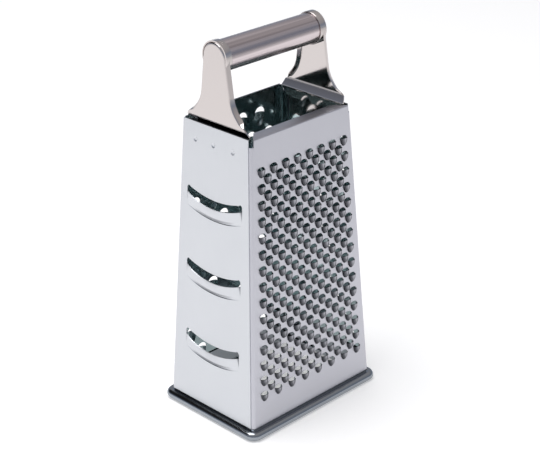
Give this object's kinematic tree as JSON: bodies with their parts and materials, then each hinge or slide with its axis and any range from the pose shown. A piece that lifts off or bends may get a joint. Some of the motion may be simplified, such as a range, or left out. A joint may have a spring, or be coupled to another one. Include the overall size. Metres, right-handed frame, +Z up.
{
  "type": "box grater",
  "caption": "Four-sided tapering steel box grater with fine, coarse, slicing and zesting walls, a rolled base rim and a tube handle on two ears.",
  "frame": {"origin": "on the ground under the middle of the body", "axes": "+X along the handle with the slicing panel at -X, +Y from the fine panel to the coarse panel, +Z up"},
  "size_m": [0.1114, 0.083, 0.2401],
  "materials": {
    "panel_steel": "satin rolled stainless sheet",
    "ear_steel": "bright pressed stainless sheet",
    "tube_steel": "lengthwise brushed stainless tube",
    "rim_steel": "polished rolled steel"
  },
  "bodies": {
    "root": {"front_grating_panel": "panel_steel", "back_grating_panel": "panel_steel", "left_slicing_panel": "panel_steel", "right_zesting_panel": "panel_steel", "left_ear_bracket": "ear_steel", "right_ear_bracket": "ear_steel", "handle_tube": "tube_steel", "left_tube_plug": "ear_steel", "right_tube_plug": "ear_steel", "base_rim": "rim_steel"}
  },
  "joints": []
}
